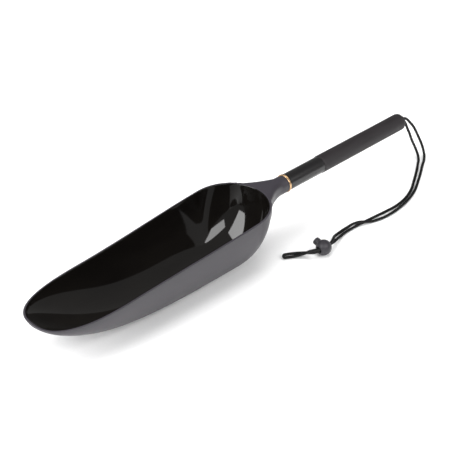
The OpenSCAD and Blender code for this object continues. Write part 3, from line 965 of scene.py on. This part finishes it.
def knot_points():
    """One overhand knot, pulled tight against the cap's plug."""
    centre = Vector((KNOT_X, 0, AXIS_Z))
    points = []
    for i in range(36):
        q = 2 * math.pi * i / 36
        points.append((centre.x + 0.42 * KNOT_R * math.sin(3 * q) * 1.7,
                       centre.y + KNOT_R * 0.42 * (math.sin(q) + 2 * math.sin(2 * q)) * 0.75,
                       centre.z + KNOT_R * 0.42 * (math.cos(q) - 2 * math.cos(2 * q)) * 0.75))
    return points + points[:1]


knot, _ = braided("lanyard_knot_tied", knot_points(), CORD_R)
finish_piece(knot, BRAID, "handle", "cord_weave", "lanyard_knot")

# The cord turns back on itself here: half a turn from the end of one strand to the other's
end_a, end_b = Vector(ROUTE_A[-1]) * MM, Vector(ROUTE_B[-1]) * MM
bight_centre = (end_a + end_b) / 2
bight_side = (end_a - end_b) / 2
bight_ahead = (Vector(ROUTE_A[-1]) - Vector(ROUTE_A[-2])
               + Vector(ROUTE_B[-1]) - Vector(ROUTE_B[-2])).normalized() * bight_side.length
bight_points = []
for i in range(-1, 14):
    q = math.pi * i / 12
    ahead = bight_ahead * (math.sin(q) if 0 <= i <= 12 else -0.3)
    across = bight_side * math.cos(min(max(q, 0), math.pi))
    bight_points.append(tuple(bight_centre + across + ahead))
bight, _ = braided("lanyard_bight_turned", bight_points, CORD_R)
finish_piece(bight, BRAID, "handle", "cord_weave", "lanyard_bight")

# Cord lock: ball, plunger and spring, made along X and turned onto the plunger's lean
ball_centre = Vector((66 * MM, -64 * MM, 8.5 * MM))
ball_r = 8.5 * MM
LEAN = math.radians(17)
press = Vector((0, math.cos(LEAN), math.sin(LEAN)))
cord_way = Vector((1, 0, 0))
lock_place = Matrix.Translation(ball_centre) @ Matrix((press, cord_way, press.cross(cord_way))
                                                      ).transposed().to_4x4()
plunger_r = 4.2 * MM
bore_r = plunger_r + 0.1 * MM
bore_bottom = -6.2 * MM
lock_hole_r = 3.5 * MM
mouth_x = math.sqrt((ball_r - 0.02 * MM) ** 2 - (bore_r + 0.35 * MM) ** 2)
round_profile = [(-ball_r * math.cos(math.radians(q)), ball_r * math.sin(math.radians(q)))
                 for q in range(0, 145, 4)]
round_profile = [p for p in round_profile if p[0] < mouth_x - 0.2 * MM]
ball = turned("lock_ball_moulded",
              [(-ball_r, 0)] + round_profile[1:]
              + [(mouth_x, bore_r + 0.35 * MM), (mouth_x - 0.1 * MM, bore_r),
                 (bore_bottom, bore_r), (bore_bottom, 0)], 96, lock_place)
deselect()
bpy.ops.mesh.primitive_cylinder_add(vertices=64, radius=lock_hole_r, depth=24 * MM,
                                    location=ball_centre, rotation=(0, math.pi / 2, 0))
drill = settle(named("cord_hole"))
ball = boolean(ball, drill, "DIFFERENCE")
bevel(ball, 0.3 * MM, 2, 40)
smooth(ball, 40)
finish_piece(ball, ACETAL, "cord_lock", "lock_plastic", "lock_ball")

plunger_low, plunger_high = -3.2 * MM, 12.5 * MM
groove = [(plunger_high - 3.4 * MM, plunger_r), (plunger_high - 3.2 * MM, plunger_r - 0.18 * MM),
          (plunger_high - 2.8 * MM, plunger_r - 0.18 * MM), (plunger_high - 2.6 * MM, plunger_r)]
plunger = turned("lock_plunger_moulded",
                 [(plunger_low, 0), (plunger_low, plunger_r - 0.3 * MM),
                  (plunger_low + 0.3 * MM, plunger_r)] + groove
                 + arc(plunger_high - 0.9 * MM, plunger_r - 0.9 * MM, 0.9 * MM, 90, 0, 5)
                 + [(plunger_high - 0.25 * MM, plunger_r - 1.6 * MM), (plunger_high - 0.3 * MM, 0)],
                 96, lock_place)
deselect()
slot_in, slot_out, slot_half = -1.65 * MM, 3.35 * MM, 3.35 * MM
bpy.ops.mesh.primitive_cube_add(size=1)
slot_box = named("cross_slot")
slot_box.data.transform(Matrix.Diagonal((slot_out - slot_in, 4 * plunger_r, 2 * slot_half, 1)))
slot_box.data.transform(Matrix.Translation(((slot_in + slot_out) / 2, 0, 0)))
slot_box.data.transform(lock_place)
plunger = boolean(plunger, slot_box, "DIFFERENCE")
smooth(plunger, 40)
finish_piece(plunger, ACETAL, "lock_button", "lock_plastic", "lock_plunger")

SPRING_R = 2.9 * MM
SPRING_TURNS = 3
SPRING_STEPS = 30           # points on one turn


def spring_points():
    """Coil between the bottom of the ball's bore and the plunger's foot."""
    bottom, top = bore_bottom + 0.3 * MM, plunger_low - 0.3 * MM
    count = SPRING_TURNS * SPRING_STEPS
    out = []
    for i in range(count + 1):
        q = 2 * math.pi * i / SPRING_STEPS
        p = Vector((bottom + (top - bottom) * i / count,
                    SPRING_R * math.cos(q), SPRING_R * math.sin(q)))
        out.append(tuple(lock_place @ p))
    return out


def wire(name, points, radius):
    """Round wire along the points, as a mesh."""
    curve = bpy.data.curves.new(name, "CURVE")
    curve.dimensions = "3D"
    curve.bevel_depth = radius
    curve.bevel_resolution = 4
    curve.use_fill_caps = True
    spline = curve.splines.new("POLY")
    spline.points.add(len(points) - 1)
    for point, place in zip(spline.points, points):
        point.co = (*place, 1)
    obj = bpy.data.objects.new(name, curve)
    bpy.context.scene.collection.objects.link(obj)
    pick(obj)
    bpy.ops.object.convert(target="MESH")
    return smooth(tidy_mesh(obj, 1e-7), 60)


spring = wire("lock_spring_coiled", spring_points(), 0.25 * MM)
finish_piece(spring, STEEL, "cord_lock", "spring_steel", "lock_spring")
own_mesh(spring)

# ---- Floor and light ----


def floor_white():
    """Seamless paper: matt white."""
    m = new_material("floor_white_paper")
    space = object_space(m)
    tooth = node(m, "ShaderNodeTexNoise", [("Vector", space, "Vector")], Scale=400.0, Detail=2.0)
    tint = ramp(m, tooth, "Fac", [(0.3, "#f4f4f4"), (0.7, "#f7f7f7")])
    return close(m, node(m, "ShaderNodeBsdfPrincipled", [("Base Color", tint, "Color")],
                         Roughness=0.9, IOR=1.2))


deselect()
bpy.ops.mesh.primitive_plane_add(size=30, location=(0, 0, -0.0005))
floor = named("floor")
floor.data.materials.append(floor_white())


def softbox(name, azimuth, elevation, distance, width, height, strength):
    """Rectangular soft light that faces the bowl. Azimuth runs from +X towards +Y."""
    a, e = math.radians(azimuth), math.radians(elevation)
    toward = Vector((math.cos(a) * math.cos(e), math.sin(a) * math.cos(e), math.sin(e)))
    deselect()
    bpy.ops.object.light_add(type="AREA", location=Vector((0, 0, 0.03)) + toward * distance)
    light = bpy.context.active_object
    light.name = name
    light.rotation_mode = "QUATERNION"
    light.rotation_quaternion = (-toward).to_track_quat("-Z", "Y")
    light.data.shape = "RECTANGLE"
    light.data.size = width
    light.data.size_y = height
    light.data.energy = strength * width * height
    return light


softbox("left_box", 165, 33, 1.8, 1.3, 1.5, 20)
softbox("right_box", -97, 42, 2.0, 2.6, 0.7, 17)
top_box = softbox("top_box", 60, 84, 2.2, 1.8, 1.8, 12)
top_box.visible_glossy = False      # it fills the shadows without a reflection of its own

bpy.context.scene.view_settings.view_transform = "Standard"
world = bpy.data.worlds.new("studio")
bpy.context.scene.world = world
world.use_nodes = True
world.node_tree.nodes["Background"].inputs["Color"].default_value = (1, 1, 1, 1)
world.node_tree.nodes["Background"].inputs["Strength"].default_value = 0.25
